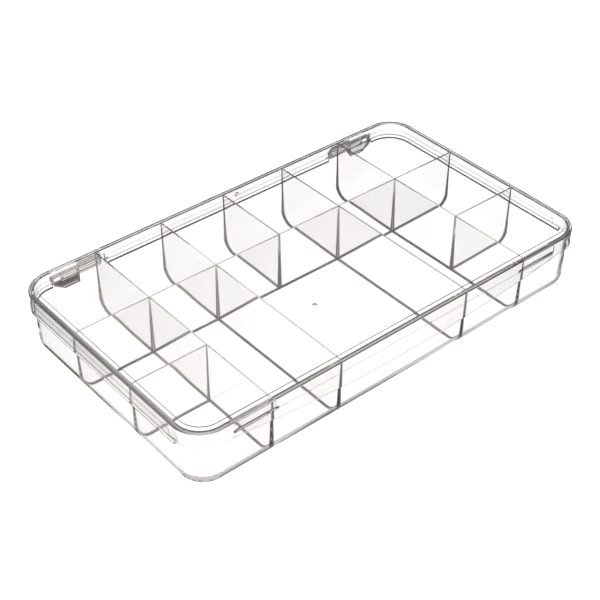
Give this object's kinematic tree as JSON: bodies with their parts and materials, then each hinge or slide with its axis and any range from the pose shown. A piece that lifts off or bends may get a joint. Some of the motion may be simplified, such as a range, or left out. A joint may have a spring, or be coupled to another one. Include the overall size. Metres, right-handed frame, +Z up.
{
  "type": "fishing tackle box",
  "caption": "Clear lidded compartment box: a tray with moulded-in dividers, and a pin-hinged lid whose arched front skirt snaps over latch beads.",
  "frame": {"origin": "centre of the tray's flat underside, which is also the plan centre of the tray", "axes": "+X along the hinge, to the right when the latch side faces the user; +Y towards the hinge side; +Z up"},
  "size_m": [0.2794, 0.1669, 0.0414],
  "materials": {
    "clear_tray": "water-clear polystyrene, polished mould finish",
    "clear_lid": "water-clear polystyrene, polished mould finish",
    "clear_pin": "water-clear polystyrene rod"
  },
  "bodies": {
    "tray": {"tray": "clear_tray", "hinge_pin_left": "clear_pin", "hinge_pin_right": "clear_pin"},
    "lid": {"lid": "clear_lid"}
  },
  "joints": [
    {"name": "lid_hinge", "type": "hinge", "parent": "tray", "child": "lid", "pos_m": [0, 0.0821, 0.0309], "axis": [-1, 0, 0], "range_deg": [0, 180]}
  ]
}
